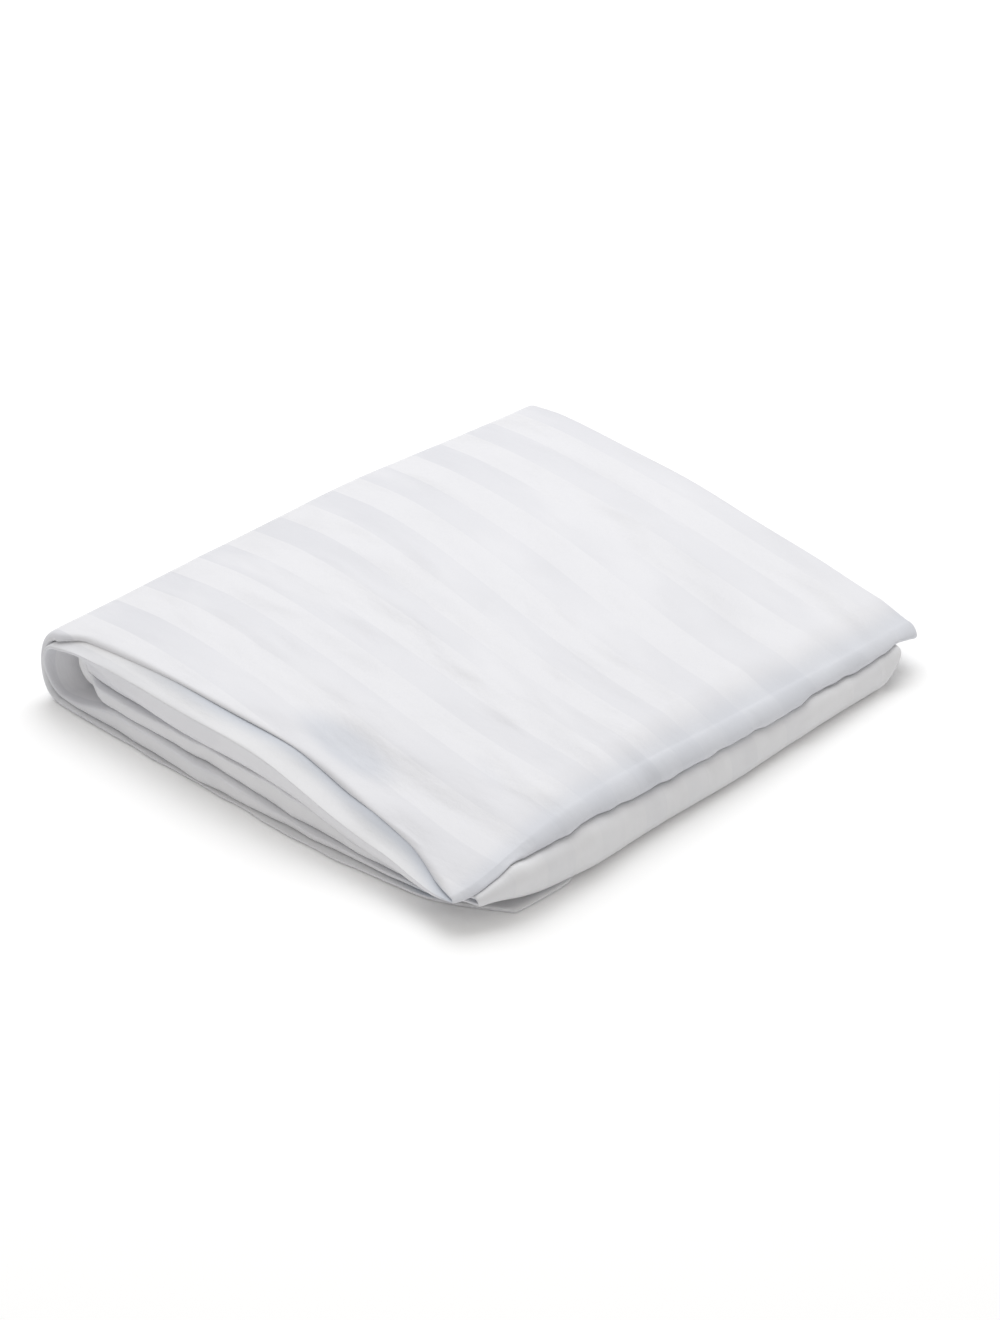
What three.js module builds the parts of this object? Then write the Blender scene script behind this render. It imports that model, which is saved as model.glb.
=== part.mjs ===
// A white satin duvet cover, folded into a flat bundle that lies on a floor or a shelf.
// The cover is two panels sewn together at their edges. It is folded lengthways first, so each
// layer of a panel here stands for a few plies of the cloth, and then back and forth six times.
// The sizes are millimetres. X runs from the wrapped fold to the end with the open folds,
// Y from the side where the layers' edges show to the far side, Z up from the floor.

import * as THREE from "three";

// The bundle
const LEFT_X = -149; // where the layers start to turn round the wrapped fold
const RIGHT_X = 148; // where they turn at the other end
const SEAM_GAP = 0.44; // between the two panels of a layer
const CLEAR = 1.5; // between two layers
const CLEAR_SHARE = 0.28; // or this share of a layer's room, where that is less
const LEAST_ROOM = 2; // for a layer
const THINNEST = 0.4; // of a panel, where the layers are pressed together
const THICKEST = 2.7; // of a panel, where there is more room
const TOP_EDGE = 2.6; // height of the top layer's near edge over the second layer
const LAYERS = 6;
const ROUNDING = 3.2; // how far in from a side edge the cloth is rolled round
const SHIFT_X = 3.65;
const SHIFT_Y = -7.862; // puts the middle of the bundle on the origin

// Height of the bundle's top over the floor, from the wrapped fold (left) to the open folds (right).
const HEIGHTS = [
  { y: -174, left: 42.0, shoulder: 43.5, quarter: 43.0, middle: 38.5, threeQuarters: 26.0, nearEnd: 20.0, end: 24.0 },
  { y: -158, left: 43.2, shoulder: 45.6, quarter: 45.9, middle: 42.2, threeQuarters: 30.2, nearEnd: 22.5, end: 28.0 },
  { y: -110, left: 43.0, shoulder: 46.5, quarter: 46.8, middle: 43.5, threeQuarters: 38.5, nearEnd: 36.5, end: 38.0 },
  { y: -40, left: 43.0, shoulder: 46.0, quarter: 46.4, middle: 45.0, threeQuarters: 42.5, nearEnd: 39.5, end: 35.5 },
  { y: 50, left: 43.5, shoulder: 45.5, quarter: 45.5, middle: 44.0, threeQuarters: 40.5, nearEnd: 36.5, end: 31.5 },
  { y: 130, left: 42.5, shoulder: 44.0, quarter: 43.5, middle: 41.5, threeQuarters: 36.5, nearEnd: 31.0, end: 27.5 },
  { y: 185, left: 40.0, shoulder: 41.5, quarter: 40.5, middle: 38.0, threeQuarters: 32.5, nearEnd: 27.0, end: 24.5 },
];
const HEIGHT_X = { left: -150, shoulder: -115, quarter: -60, middle: 10, threeQuarters: 75, nearEnd: 125, end: 152 };

// At the near side the layers aren't evenly high. These are the heights there of the lines between them,
// at the places of NEAR_X.
const NEAR_X = [-150, -134, -118, -104, -60, -10, 15, 35, 51, 61, 77, 92, 108, 124, 136, 150];
const NEAR_LINES = {
  underTop: [41.2, 42.8, 43.8, 44.2, 44.3, 42.2, 40.0, 35.2, 31.4, 30.2, 28.2, 25.6, 22.2, 20.0, 20.8, 23.8],
  secondLip: [36.5, 39.5, 40.4, 40.8, 40.8, 40.0, 37.0, 32.2, 27.6, 25.0, 21.8, 20.2, 17.2, 15.8, 18.5, 21.5],
  underSecond: [33.8, 36.8, 36.0, 34.0, 32.6, 31.5, 28.5, 25.5, 23.0, 21.0, 18.3, 16.8, 14.3, 13.2, 16.0, 18.8],
  underThird: [23.5, 23.8, 24.0, 24.2, 24.5, 24.3, 22.8, 20.6, 17.0, 15.0, 12.6, 11.6, 10.3, 11.0, 14.6, 16.5],
  underFourth: [5.4, 7.6, 12.0, 14.3, 14.2, 12.2, 8.2, 7.2, 7.0, 6.9, 6.5, 6.5, 6.6, 8.6, 12.6, 14.5],
  underFifth: [2.7, 3.6, 5.6, 7.0, 6.9, 6.0, 4.0, 3.6, 3.5, 3.4, 3.2, 3.2, 3.6, 6.4, 10.4, 12.5],
};
const LIP_Y = -173; // the second layer's edge
const EDGE_Y = -159; // the top layer's edge
const EVEN_Y = -118; // where the layers are evenly high again
const CORE_LIFT = 7; // how much higher the fourth layer starts at the wrapped fold
const FLOOR_FOLD = 3.4; // the floor layer's height at its open near corner

// The line under the second layer where it turns at the open folds: places across and heights.
const TURN_Y = [-163, -148, -133, -110, -87, -68, -39, 0, 26, 58, 83, 107, 130, 150, 167];
const TURN_Z = [24.4, 24.8, 26.4, 26.0, 27.0, 24.6, 22.6, 22.0, 21.6, 19.4, 20.6, 18.9, 18.2, 19.4, 15.8];

// Soft creases and hollows of the cloth: middle, direction in degrees from X, half length, half width and rise.
const CREASES = [
  { x: 18, y: -128, turn: -7, length: 44, width: 13, rise: -2.4 }, // hollow behind the top layer's edge
  { x: 92, y: -92, turn: -24, length: 38, width: 7, rise: -1.6 }, // crease that runs to the front corner
  { x: 20, y: -48, turn: -12, length: 88, width: 15, rise: 1.3 }, // long soft ridge
  { x: -30, y: -12, turn: -10, length: 52, width: 12, rise: -1.3 }, // trough beside it
  { x: 62, y: 24, turn: -6, length: 58, width: 18, rise: 1.0 },
  { x: -70, y: 62, turn: -14, length: 56, width: 15, rise: -1.1 },
  { x: 20, y: 108, turn: -8, length: 76, width: 17, rise: 0.9 },
  { x: -86, y: -104, turn: 10, length: 40, width: 15, rise: 1.0 },
  { x: 110, y: 86, turn: 6, length: 34, width: 15, rise: -0.9 },
];

// One row per run of the folded cover, in the order the cloth follows. The layer is counted from the floor.
// goes: the way the run goes. near: the edge at the side where the layers show, at five places from left
// to right. far: the edge at the far side. leftReach and rightReach: how far the run goes past the turning
// line at each end. nearCorner: how far its right end draws back at the near corner.
const RUNS = [
  {
    name: "floor layer", layer: 0, goes: "left", leftReach: 0, rightReach: 4, nearCorner: 1,
    near: [-173, -174, -173, -165.5, -143], far: [182, 183, 179, 158, 132],
  },
  {
    name: "top layer", layer: 5, goes: "right", leftReach: 0, rightReach: -2.2, nearCorner: 8,
    near: [-171, -164, -159, -160, -173], far: [189, 190, 182, 172, 169],
  },
  {
    name: "second layer", layer: 4, goes: "left", leftReach: -1, rightReach: -1.2, nearCorner: 8.5,
    near: [-174, -174, -173, -172, -174], far: [184, 188, 184, 174, 167],
  },
  {
    name: "fifth layer", layer: 1, goes: "right", leftReach: -1, rightReach: -1, nearCorner: 3,
    near: [-170, -171.5, -171.5, -165, -163], far: [178, 182, 178, 158, 135],
  },
  {
    name: "third layer", layer: 3, goes: "left", leftReach: -18, rightReach: -1, nearCorner: 3,
    near: [-168, -172.5, -170, -165, -164], far: [176, 184, 181, 166, 151],
  },
  {
    name: "fourth layer", layer: 2, goes: "right", leftReach: -18, rightReach: -12, nearCorner: 3,
    near: [-164, -169, -168.5, -161, -158], far: [172, 180, 180, 162, 140],
  },
];
const EDGE_AT = [0, 0.06, 0.5, 0.86, 1]; // where along a run the five edge places are

// The floor layer ends short of the open folds behind its near corner, and the fifth layer sags in front of it.
const FLOOR_LAYER_BACK = 30; // how far its end draws back
const BACK_FROM = 0.12; // where across the bundle that starts
const BACK_TO = 0.28; // and where it is complete
const SAG_LENGTH = 15; // over what length the fifth layer comes down to the floor
const SAG_FROM = 0.17; // where across the bundle that starts
const SAG_TO = 0.34; // and where it is complete

// One row per fold between two runs. bulge: how far it goes past its turning line, as a share of half its
// height. nearBulge: the same at the near side. blunt: 2 is an ellipse, more is squarer.
const FOLDS = [
  { from: 0, to: 1, side: "left", bulge: 0.67, nearBulge: 0.67, blunt: 2.1 },
  { from: 1, to: 2, side: "right", bulge: 1.2, nearBulge: 1.2, blunt: 2.0 },
  { from: 2, to: 3, side: "left", bulge: 0.6, nearBulge: 0.62, blunt: 2.0 },
  { from: 3, to: 4, side: "right", bulge: 0.72, nearBulge: 0.8, blunt: 2.1 },
  { from: 4, to: 5, side: "left", bulge: 1.1, nearBulge: 0.8, blunt: 2.0 },
];

// How finely the cloth is cut into faces.
const ALONG = [0, 0.035, 0.09, 0.18, 0.3, 0.44, 0.58, 0.71, 0.82, 0.91, 0.945, 0.975, 1];
const FOLD_STEPS = 6;
const ACROSS = [
  0, 0.0024, 0.009, 0.022, 0.04, 0.06, 0.08, 0.1, 0.125, 0.16,
  0.22, 0.31, 0.42, 0.54, 0.66, 0.77, 0.87, 0.94, 0.985, 1,
];

const lerp = (a, b, t) => a + (b - a) * t;
const clamp = (value, low, high) => Math.min(high, Math.max(low, value));
const smooth = (t) => t * t * (3 - 2 * t);

// A smooth curve through named places: at holds where they are, values what they are.
function curve(at, values, x) {
  const last = at.length - 1;
  const position = clamp(x, at[0], at[last]);
  let k = 0;
  while (k < last - 1 && position > at[k + 1]) k += 1;
  const slope = (i) => {
    const low = Math.max(0, i - 1);
    const high = Math.min(last, i + 1);
    return (values[high] - values[low]) / (at[high] - at[low]);
  };
  const span = at[k + 1] - at[k];
  const t = (position - at[k]) / span;
  const t2 = t * t;
  const t3 = t2 * t;
  return (
    (2 * t3 - 3 * t2 + 1) * values[k] +
    (t3 - 2 * t2 + t) * span * slope(k) +
    (3 * t2 - 2 * t3) * values[k + 1] +
    (t3 - t2) * span * slope(k + 1)
  );
}

const placeNames = Object.keys(HEIGHT_X);
const placeX = placeNames.map((name) => HEIGHT_X[name]);
const rowY = HEIGHTS.map((row) => row.y);

// Height of the bundle's top at a place.
function heightAt(x, y) {
  const across = HEIGHTS.map((row) => curve(placeX, placeNames.map((name) => row[name]), x));
  let height = curve(rowY, across, y);
  for (const crease of CREASES) {
    const angle = (crease.turn * Math.PI) / 180;
    const dx = x - crease.x;
    const dy = y - crease.y;
    const along = (dx * Math.cos(angle) + dy * Math.sin(angle)) / crease.length;
    const off = (dy * Math.cos(angle) - dx * Math.sin(angle)) / crease.width;
    height += crease.rise * Math.exp(-along * along - off * off);
  }
  return height;
}

// How much of the near side's lines holds at a place, for the lower and for the upper layers: 1 at the
// edge and 0 where the layers are even. At the open folds the upper ones go over sooner.
function nearShare(x, y) {
  const sooner = between(110, 142, x);
  const lower = 1 - between(EDGE_Y, EVEN_Y, y);
  const depth = EVEN_Y - EDGE_Y - 12 * sooner;
  const upper = 1 - smooth(clamp((y - EDGE_Y + 10 * sooner) / depth, 0, 1));
  return { lower, upper };
}

// Heights of the lines from the floor to the top, seven for six layers. The one under the top layer comes
// down from that layer's edge to the lip of the second layer.
function layerLines(x, y) {
  const top = heightAt(x, y);
  const { lower, upper } = nearShare(x, y);
  const near = (name) => curve(NEAR_X, NEAR_LINES[name], x);
  const even = (layer) => (top * layer) / LAYERS;
  const inFront = clamp((y - LIP_Y) / (EDGE_Y - LIP_Y), 0, 1) ** 1.8;
  const underTop = lerp(near("secondLip"), Math.min(near("underTop"), top - TOP_EDGE), inFront);
  const turning = between(85, 142, x);
  const fourth = even(4) + (curve(TURN_Y, TURN_Z, y) - even(4)) * turning;
  const fifth = lerp(even(5), (fourth + top) / 2, turning);
  const lines = [
    0,
    lerp(even(1), near("underFifth"), lower),
    lerp(even(2), near("underFourth"), lower),
    lerp(even(3), near("underThird"), upper),
    lerp(fourth, near("underSecond"), upper),
    lerp(fifth, underTop, upper),
    top,
  ];
  for (let k = LAYERS - 1; k > 0; k -= 1) lines[k] = Math.min(lines[k], lines[k + 1] - LEAST_ROOM);
  return lines;
}

// The height there is for a layer, less the clearance, and the thickness of its two panels.
function room(layer, lines, x, y) {
  const clear = Math.min(CLEAR, CLEAR_SHARE * (lines[layer + 1] - lines[layer]));
  let low = lines[layer] + (layer > 0 ? clear / 2 : 0);
  let high = lines[layer + 1] - (layer < LAYERS - 1 ? clear / 2 : 0);
  if (layer === 0) {
    const pressed = between(96, 128, x) * (1 - between(-90, -50, y));
    high = lerp(high, Math.min(high, FLOOR_FOLD), pressed);
  }
  if (layer === 2) low += CORE_LIFT * (1 - between(-134, -108, x)) * nearShare(x, y).lower;
  return { low, high, thickness: clamp((high - low - SEAM_GAP) / 2, THINNEST, THICKEST) };
}

// Height of the middle of a layer, and the thickness of each of its two panels. Near the fold that joins it
// to the layer it faces, it is no thicker than that one. The fifth layer sags in front of the floor layer.
function layerSpan(layer, x, y, v) {
  const lines = layerLines(x, y);
  const { low, high, thickness: own } = room(layer, lines, x, y);
  let thickness = own;
  if (layer > 1) {
    const facing = [3, 2, 5, 4][layer - 2];
    const close = layer > 3 ? between(105, 140, x) : 1 - between(-132, -100, x);
    thickness = lerp(own, Math.min(own, room(facing, lines, x, y).thickness + 0.2), close);
  }
  const half = thickness + SEAM_GAP / 2;
  const level = layer === 0 ? low + half : high - half;
  if (layer !== 1) return { z: level, thickness };
  const sag = between(RIGHT_X - 5 - SAG_LENGTH, RIGHT_X - 5, x) * between(SAG_FROM, SAG_TO, v);
  return { z: lerp(level, half + 0.3, sag), thickness };
}

// From 0 at the first place to 1 at the second, smoothly.
function between(first, second, v) {
  return smooth(clamp((v - first) / (second - first), 0, 1));
}

// The slow wander of a layer's edges, different for each layer.
function wander(layer, t, size) {
  const phase = layer * 1.9;
  return size * (Math.sin(t * 9.1 + phase) * 0.6 + Math.sin(t * 17.3 + phase * 2.3) * 0.4);
}

// Where the two ends of a run are, at a place across the bundle from 0 (near) to 1 (far).
function ends(run, v) {
  const corner = run.nearCorner * Math.exp(-v / 0.045);
  const leftWander = wander([0, 1, 3, 3, 1, 0][run.layer], v, 1.2); // the same for two layers with a fold
  const rightWander = wander(run.layer === 5 ? 4 : run.layer + 7, v, 1.1);
  const short = run.layer === 0 ? FLOOR_LAYER_BACK * between(BACK_FROM, BACK_TO, v) : 0;
  const left = LEFT_X - run.leftReach + leftWander + 7 * smooth(v) ** 4;
  const right = RIGHT_X + run.rightReach - corner - short + rightWander + 3 * smooth(v);
  return { left, right };
}

// A point of a run: s goes from its left end (0) to its right end (1), v from near to far.
function runPoint(run, s, v) {
  const { left, right } = ends(run, v);
  const near = curve(EDGE_AT, run.near, s) + wander(run.layer + 3, s, 1.4) * Math.sin(Math.PI * s);
  const far = curve(EDGE_AT, run.far, s) + wander(run.layer + 11, s, 1.4) * Math.sin(Math.PI * s);
  const x = lerp(left, right, s);
  const y = lerp(near, far, v);
  const { z, thickness } = layerSpan(run.layer, x, y, v);
  return { x, y, z, thickness };
}

// The middle of the folded cover as a list of stations. Each gives, for a place across the bundle, the
// point, the direction out of the front panel's face, and how thick each panel is there.
const stations = [];

function addRun(index) {
  const run = RUNS[index];
  const out = index === 0 ? -1 : [0, 1, -1, 1, -1, 1][index];
  const first = index === 0;
  const last = index === RUNS.length - 1;
  const places = run.goes === "right" ? [...ALONG] : ALONG.map((t) => 1 - t).reverse();
  if (first) places.splice(0, 1, 0, 0.004, 0.012);
  if (last) places.splice(places.length - 1, 1, 0.988, 0.996, 1);
  for (const t of places) {
    const s = run.goes === "right" ? t : 1 - t;
    const fromEnd = first ? t : last ? 1 - t : 1;
    stations.push((v) => {
      const point = runPoint(run, s, v);
      const length = RIGHT_X - LEFT_X;
      return { point, normal: { x: 0, z: out }, thickness: point.thickness * rolled(fromEnd * length) };
    });
  }
}

function addFold(index) {
  const fold = FOLDS[index];
  const from = RUNS[fold.from];
  const to = RUNS[fold.to];
  const side = fold.side === "right" ? 1 : -1;
  const s = fold.side === "right" ? 1 : 0;
  const outFrom = [-1, 1, -1, 1, -1, 1][fold.from];
  for (let k = 1; k < FOLD_STEPS; k += 1) {
    const angle = Math.PI * (k / FOLD_STEPS);
    stations.push((v) => {
      const a = runPoint(from, s, v);
      const b = runPoint(to, s, v);
      const share = (1 - Math.cos(angle)) / 2;
      const half = Math.abs(b.z - a.z) / 2;
      const power = 2 / fold.blunt;
      const sine = Math.sin(angle);
      const cosine = Math.cos(angle);
      const bulge = lerp(fold.bulge, fold.nearBulge, nearShare(a.x, a.y).lower) * half;
      const way = Math.sign(a.z - b.z);
      const x = lerp(a.x, b.x, share) + side * bulge * sine ** power;
      const z = (a.z + b.z) / 2 + way * half * Math.sign(cosine) * Math.abs(cosine) ** power;
      const y = lerp(a.y, b.y, smooth(share));
      // The fold's curve goes this way, and square to it is the way out of its inside.
      const alongX = (sine * (b.x - a.x)) / 2 + side * bulge * power * sine ** (power - 1) * cosine;
      const alongZ = -way * half * power * Math.abs(cosine) ** (power - 1) * sine;
      const size = Math.hypot(alongX, alongZ);
      const outward = outFrom * side; // with the way the fold turns, this points out of the front panel
      return {
        point: { x, y, z },
        normal: { x: (-outward * alongZ) / size, z: (outward * alongX) / size },
        thickness: lerp(a.thickness, b.thickness, share),
      };
    });
  }
}

// The roll of an edge: the share of the thickness left at a distance in from it.
function rolled(distance) {
  const t = clamp(distance / ROUNDING, 0, 1);
  return Math.sqrt(1 - (1 - t) * (1 - t));
}

addRun(0);
for (let index = 0; index < FOLDS.length; index += 1) {
  addFold(index);
  addRun(index + 1);
}

// A panel as one closed body. side is 1 for the front panel, on the outside of the wrap, and -1 for the
// back one.
function panel(side) {
  const rows = stations.length;
  const columns = ACROSS.length;
  const position = [];
  const inner = [];
  const outer = [];
  for (let r = 0; r < rows; r += 1) {
    inner.push([]);
    outer.push([]);
    for (let c = 0; c < columns; c += 1) {
      const v = ACROSS[c];
      const { point, normal, thickness: full } = stations[r](v);
      const edge = Math.min(v, 1 - v) * 345;
      const thickness = Math.max(0.32, full * rolled(edge + 0.12));
      const near = (side * SEAM_GAP) / 2;
      const away = side * (SEAM_GAP / 2 + thickness);
      for (const [list, offset] of [[inner, near], [outer, away]]) {
        list[r].push(position.length / 3);
        let z = point.z + normal.z * offset;
        if (z < 0.02) z = 0; // the floor presses the cover flat
        position.push(point.x + normal.x * offset + SHIFT_X, point.y + SHIFT_Y, z);
      }
    }
  }
  const index = [];
  const quad = (a, b, c, d) => {
    if (side > 0) index.push(a, b, c, a, c, d);
    else index.push(a, c, b, a, d, c);
  };
  for (let r = 0; r < rows - 1; r += 1) {
    for (let c = 0; c < columns - 1; c += 1) {
      quad(outer[r][c], outer[r + 1][c], outer[r + 1][c + 1], outer[r][c + 1]);
      quad(inner[r][c], inner[r][c + 1], inner[r + 1][c + 1], inner[r + 1][c]);
    }
    quad(inner[r][0], inner[r + 1][0], outer[r + 1][0], outer[r][0]);
    quad(outer[r][columns - 1], outer[r + 1][columns - 1], inner[r + 1][columns - 1], inner[r][columns - 1]);
  }
  for (let c = 0; c < columns - 1; c += 1) {
    quad(inner[0][c], outer[0][c], outer[0][c + 1], inner[0][c + 1]);
    quad(outer[rows - 1][c], inner[rows - 1][c], inner[rows - 1][c + 1], outer[rows - 1][c + 1]);
  }
  const geometry = new THREE.BufferGeometry();
  geometry.setAttribute("position", new THREE.Float32BufferAttribute(position, 3));
  geometry.setIndex(index);
  geometry.computeVertexNormals();
  return geometry;
}

const group = new THREE.Group();
group.name = "folded_duvet_cover";
const cloths = [
  { name: "front_panel", side: 1, colour: 0xf7f8fa },
  { name: "back_panel", side: -1, colour: 0xf2f3f5 },
];
for (const cloth of cloths) {
  const material = new THREE.MeshStandardMaterial({ color: cloth.colour, roughness: 0.62, metalness: 0 });
  const mesh = new THREE.Mesh(panel(cloth.side), material);
  mesh.name = cloth.name;
  group.add(mesh);
}

export default group;
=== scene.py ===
# %% [markdown]
# # A folded duvet cover in white striped satin
#
# The cover is two panels of cotton satin, sewn together round their edges. It has been folded
# lengthways into a long ribbon, then back and forth into a flat bundle with six layers, and it
# lies on a white floor. This lesson builds the two panels as fine cloth surfaces that follow one
# folded middle surface, gives them their striped satin, and lights them softly.
#
# The first cell loads the solid model of the bundle. Every piece made here is in metres in that
# model's frame, so nothing has to be fitted later.

# %% Load the solid model
import math

import bpy
import numpy as np
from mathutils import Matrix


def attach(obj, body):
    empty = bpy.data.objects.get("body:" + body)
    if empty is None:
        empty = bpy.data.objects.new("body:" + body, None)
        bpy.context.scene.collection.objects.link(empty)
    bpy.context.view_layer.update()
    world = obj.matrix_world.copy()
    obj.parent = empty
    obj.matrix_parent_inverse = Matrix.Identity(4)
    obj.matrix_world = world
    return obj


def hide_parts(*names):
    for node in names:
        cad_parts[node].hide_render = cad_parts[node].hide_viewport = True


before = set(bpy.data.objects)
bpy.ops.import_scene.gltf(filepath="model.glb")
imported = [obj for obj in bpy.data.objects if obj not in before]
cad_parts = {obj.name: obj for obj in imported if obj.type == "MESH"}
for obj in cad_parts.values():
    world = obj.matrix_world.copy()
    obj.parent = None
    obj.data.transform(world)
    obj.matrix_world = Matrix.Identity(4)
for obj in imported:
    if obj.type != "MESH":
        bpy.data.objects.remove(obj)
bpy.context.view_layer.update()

# %% [markdown]
# ## The bundle's sizes
#
# On the real object nothing is measured with a ruler: a fold lands where the hands put it. So the
# shape is kept as short tables in millimetres: the height of the top along seven lines, the lines
# between the layers at the near side, the uneven edges of each layer, the roll of each fold and
# the soft creases of the top. A modeller could push vertices about instead, but a table can be
# read and corrected. Where something fades in, two values say where it starts and where it holds.

# %% Sizes of the bundle, in millimetres
LEFT_X, RIGHT_X = -149.0, 148.0  # where the layers turn at the wrapped fold and at the open folds
SHIFT_X, SHIFT_Y = 3.65, -7.862  # puts the middle of the bundle on the origin
LAYERS = 6
RIBBON_WIDE = 345.0  # the folded ribbon's usual width, from its near edge to its far one
SEAM_GAP = 0.06  # between the two panels of a layer
LEAST_PANEL = 0.12  # a panel is never thinner
ROUNDING = 3.2  # how far in from a side edge the cloth is rolled round
ROUND_BLUNT = 2.4  # how blunt that roll is: 2 is an ellipse, and more is squarer
RIM_START = 0.12  # where on that roll the rim itself lies
ON_FLOOR = 0.02  # cloth that comes nearer the floor than this lies on it

HEIGHT_X = [-150, -115, -60, 10, 75, 125, 152]
HEIGHTS = {  # y of the line: the top's height at each place of HEIGHT_X
    -174: [42.0, 43.5, 43.0, 38.5, 26.0, 20.0, 27.5],
    -158: [43.2, 45.6, 45.9, 42.2, 30.2, 22.5, 31.5],
    -110: [43.0, 46.5, 46.8, 43.5, 38.5, 37.5, 41.5],
    -40: [43.0, 46.0, 46.4, 45.0, 42.5, 40.5, 39.0],
    50: [43.5, 45.5, 45.5, 44.0, 40.5, 37.5, 35.0],
    130: [42.5, 44.0, 43.5, 41.5, 36.5, 32.0, 31.5],
    185: [40.0, 41.5, 40.5, 38.0, 32.5, 27.5, 28.0],
}

# At the near side the layers aren't evenly high. These are the heights of the lines between them.
NEAR_X = [-150, -134, -118, -104, -60, -10, 15, 35, 51, 61, 77, 92, 108, 124, 136, 150]
NEAR_LINES = {
    "under the top layer": [
        41.2, 42.8, 43.8, 44.2, 44.3, 42.2, 40.0, 35.2,
        31.4, 30.2, 28.2, 25.6, 22.2, 20.0, 20.8, 23.8,
    ],
    "lip of the second layer": [
        36.5, 39.5, 40.4, 40.8, 40.8, 40.0, 37.0, 32.2,
        27.6, 25.0, 21.8, 20.2, 17.2, 15.8, 18.5, 21.5,
    ],
    "under the second layer": [
        33.8, 36.8, 35.5, 29.5, 25.9, 25.6, 24.2, 22.0,
        18.3, 16.2, 13.8, 12.9, 11.8, 12.4, 15.8, 18.8,
    ],
    "under the third layer": [
        23.5, 23.8, 24.0, 24.2, 24.5, 24.3, 22.8, 20.6,
        17.0, 15.0, 12.6, 11.6, 10.3, 11.0, 14.6, 16.5,
    ],
    "under the fourth layer": [
        5.4, 7.6, 12.0, 14.3, 14.2, 12.2, 8.2, 7.2,
        7.0, 6.9, 6.5, 6.5, 6.6, 8.6, 12.6, 14.5,
    ],
    "under the fifth layer": [
        2.7, 2.9, 2.6, 2.3, 2.1, 2.0, 2.0, 2.1,
        2.3, 2.5, 2.7, 3.0, 3.6, 6.4, 10.4, 12.5,
    ],
}
LIP_Y, EDGE_Y, EVEN_Y = -173.0, -159.0, -118.0  # second layer's lip, top layer's edge, even layers
LIP_CURVE = 1.8  # how late the line under the top layer leaves the lip
SOONER_X = (110, 142)  # towards the open folds the upper layers are even sooner
SOONER, SHORTER = 10.0, 12.0  # how much sooner that starts there, and how much shorter it is
CORE_LIFT, CORE_X, CORE_ROOM = 7.0, (-134, -108), 2.5  # the fourth layer starts higher at the left
FLOOR_FOLD, FLOOR_FOLD_X, FLOOR_FOLD_Y = 2.4, (96, 128), (-90, -50)  # the floor layer's low corner
CLEAR, CLEAR_LESS = 0.4, 0.8  # between two layers, and how much of it goes at the near side
LEAST_ROOM = 0.9  # for a layer
# Where the seam lies in the height of each layer at the near side: 0 at its bottom, 1 at its top.
SEAM_AT = [0.8, 0.85, 0.85, 0.85, 0.93, 0.06]
SEAM_LEFT, SEAM_RIGHT, SEAM_V = (-147, -128), (116, 138), (0.03, 0.12)  # in the middle past these
# The top layer rolls down towards the open folds, which it ends a little past.
ROLL_LENGTH, ROLL_DROP, ROLL_PAST = 26.0, 5.5, 1.5
ROLL_UNDER = 0.5  # the share of that drop which the line under the top layer takes
TOP_LEAST = 1.5  # the top layer's least height, from its near edge on
TURNING_X = (85, 142)  # from the even layers to the line under the second layer at the open folds
# That line, where the second layer turns: places across and heights.
TURN_Y = [-163, -148, -133, -110, -87, -68, -39, 0, 26, 58, 83, 107, 130, 150, 167]
TURN_Z = [24.4, 24.8, 26.4, 26.0, 27.0, 24.6, 22.6, 22.0, 21.6, 19.4, 20.6, 18.9, 18.2, 19.4, 15.8]
TURN_WAVES = [(1 / 3.9, 0, 0.35), (1 / 2.3, 0, 0.25)]  # fine waves on it, set out as below

# One row per run of the ribbon, in the order the cloth follows: the layer counted from the floor,
# the way it goes, how far it passes the turning line at the left and right, and how far its right
# end draws back at the near corner.
RUNS = [
    ("floor layer", 0, "left", 0, 4, 1),
    ("top layer", 5, "right", 0, -6, 5.5),
    ("second layer", 4, "left", -1, -0.5, 9.5),
    ("fifth layer", 1, "right", -1, -1, 3),
    ("third layer", 3, "left", -18, -1, 3),
    ("fourth layer", 2, "right", -18, -12, 3),
]
OUT_OF_FRONT = [-1, 1, -1, 1, -1, 1]  # which way the front panel faces on each run, up or down

# The near and far edges of each run at five places from its left end to its right end.
EDGE_AT = [0, 0.06, 0.5, 0.86, 1]
EDGES = {
    "floor layer": ([-173, -174, -173, -165.5, -143], [182, 183, 179, 158, 132]),
    "top layer": ([-171, -164, -159, -160, -173], [189, 190, 182, 172, 169]),
    "second layer": ([-174, -174, -173, -172, -174], [184, 188, 184, 174, 167]),
    "fifth layer": ([-171, -173, -172.5, -166, -163], [178, 182, 178, 158, 135]),
    "third layer": ([-167, -169.5, -168, -166, -164], [176, 184, 181, 166, 151]),
    "fourth layer": ([-165, -171.5, -171, -165, -160], [172, 180, 180, 162, 140]),
}
# How far the edges wander from there: at the left, at the right, and at the near and far sides.
LEFT_WANDER, RIGHT_WANDER, SIDE_WANDER = 1.2, 1.1, 1.4
LEFT_PHASE = [0, 1, 3, 3, 1, 0]  # layers that share a fold at the left wander alike
RIGHT_PHASE = [7, 8, 9, 10, 11, 4]  # at the right each wanders in its own way
NEAR_PHASE, FAR_PHASE = 3, 11  # at the sides too: this is added to the layer's number
# Waves, as rows of how fast each goes, its phase for each layer and its size.
SLOW_WAVES = [(9.1, 1.9, 0.6), (17.3, 4.37, 0.4)]  # of every edge, as shares of its wander
FINE_WAVES = [(43, 2.1, 0.45), (71, 3.7, 0.3)]  # of the lower layers' near edges
FAR_LEFT_IN, FAR_RIGHT_OUT = 7.0, 3.0  # how far the far corners are drawn in and out
CORNER_FADE = 0.045  # how soon the near corner's drawing back fades, as a share of the width

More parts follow.
